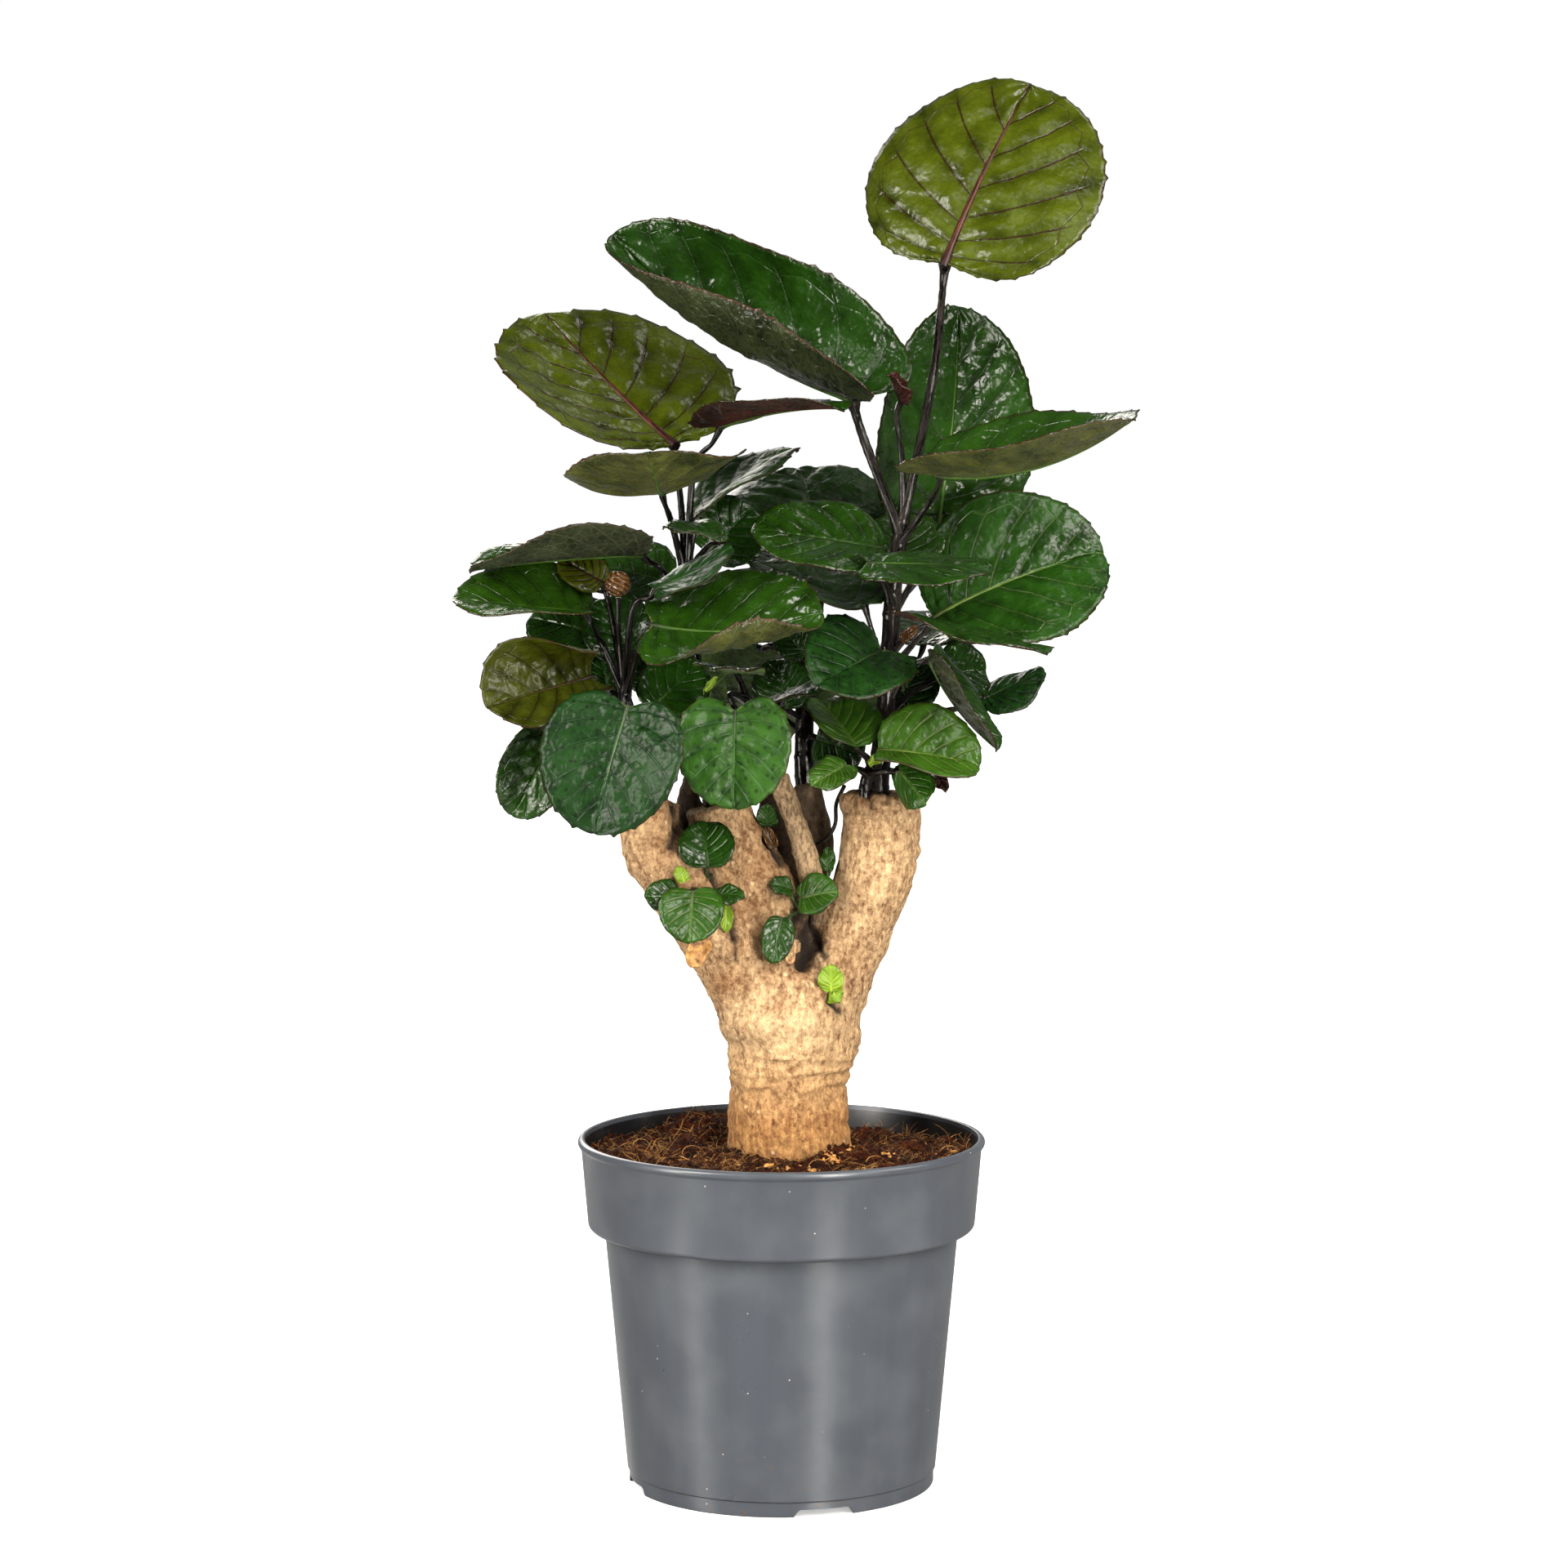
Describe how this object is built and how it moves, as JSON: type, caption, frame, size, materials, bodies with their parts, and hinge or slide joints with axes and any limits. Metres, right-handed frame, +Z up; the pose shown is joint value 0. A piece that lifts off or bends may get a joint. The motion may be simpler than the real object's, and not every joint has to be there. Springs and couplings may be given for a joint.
{
  "type": "potted polyscias plant",
  "caption": "Potted houseplant with a thick stump-like forked trunk, dark shoots and large round glossy leaves, in a grey plastic nursery pot filled with coco peat.",
  "frame": {"origin": "bottom centre of the pot, on the floor that it stands on", "axes": "+Z up; the camera of the picture looks along +Y, so -Y is the front; +X is the viewer's right"},
  "size_m": [0.3897, 0.24, 0.826],
  "materials": {
    "pot_grey_polypropylene": "satin grey injection-moulded polypropylene",
    "coco_peat_soil": "loose brown coco peat of coconut fibre, matt",
    "tan_bark": "tan bark with lenticels and ring wrinkles, matt",
    "dark_purple_stem_skin": "near-black purple stem skin, semi-gloss",
    "glossy_dark_green_leaf": "waxy dark green leaf, glossy",
    "young_yellow_green_leaf": "waxy yellow-green young leaf, glossy",
    "dusty_blue_green_leaf": "blue-green leaf with water spots, satin",
    "fresh_lime_sprout": "lime-green new sprout, satin",
    "curled_brown_young_leaf": "bronze-brown unopened leaf, satin"
  },
  "bodies": {
    "root": {"bud_left": "curled_brown_young_leaf", "leaf_back_foot": "dusty_blue_green_leaf", "leaf_back_left": "glossy_dark_green_leaf", "leaf_back_low_left": "glossy_dark_green_leaf", "leaf_back_low_right": "glossy_dark_green_leaf", "leaf_back_middle": "glossy_dark_green_leaf", "leaf_back_right": "glossy_dark_green_leaf", "leaf_back_tall": "glossy_dark_green_leaf", "leaf_back_wide": "glossy_dark_green_leaf", "leaf_big_front": "glossy_dark_green_leaf", "leaf_bowl": "glossy_dark_green_leaf", "leaf_brown_back": "glossy_dark_green_leaf", "leaf_crown": "young_yellow_green_leaf", "leaf_dark_left": "glossy_dark_green_leaf", "leaf_dark_mid": "glossy_dark_green_leaf", "leaf_flag": "glossy_dark_green_leaf", "leaf_front_left": "dusty_blue_green_leaf", "leaf_front_round": "dusty_blue_green_leaf", "leaf_hanging_grey": "glossy_dark_green_leaf", "leaf_left_bright": "glossy_dark_green_leaf", "leaf_left_crown": "young_yellow_green_leaf", "leaf_left_long": "glossy_dark_green_leaf", "leaf_long_cupped": "glossy_dark_green_leaf", "leaf_low_left": "glossy_dark_green_leaf", "leaf_mid_narrow": "glossy_dark_green_leaf", "leaf_mid_notched": "dusty_blue_green_leaf", "leaf_mid_oval": "glossy_dark_green_leaf", "leaf_mid_shadow": "glossy_dark_green_leaf", "leaf_olive_cup": "young_yellow_green_leaf", "leaf_right_back": "glossy_dark_green_leaf", "leaf_right_pointed": "glossy_dark_green_leaf", "leaf_right_round": "glossy_dark_green_leaf", "leaf_right_thin": "glossy_dark_green_leaf", "leaf_rising_blue": "dusty_blue_green_leaf", "leaf_shade_blue": "dusty_blue_green_leaf", "leaf_shade_bright": "glossy_dark_green_leaf", "leaf_shade_left": "glossy_dark_green_leaf", "leaf_small_flat": "glossy_dark_green_leaf", "leaf_small_right": "dusty_blue_green_leaf", "leaf_small_wing": "glossy_dark_green_leaf", "leaf_young_cup": "curled_brown_young_leaf", "pot": "pot_grey_polypropylene", "shoot_back": "dark_purple_stem_skin", "shoot_cane": "dark_purple_stem_skin", "shoot_left": "dark_purple_stem_skin", "shoot_middle": "dark_purple_stem_skin", "shoot_right": "dark_purple_stem_skin", "soil": "coco_peat_soil", "spray_low_right": "glossy_dark_green_leaf", "sprig_back": "glossy_dark_green_leaf", "sprig_left": "glossy_dark_green_leaf", "sprig_middle": "glossy_dark_green_leaf", "sprig_round": "glossy_dark_green_leaf", "sprout_lime_high": "fresh_lime_sprout", "sprout_lime_low": "fresh_lime_sprout", "sprout_lime_side": "fresh_lime_sprout", "trunk": "tan_bark"}
  },
  "joints": []
}
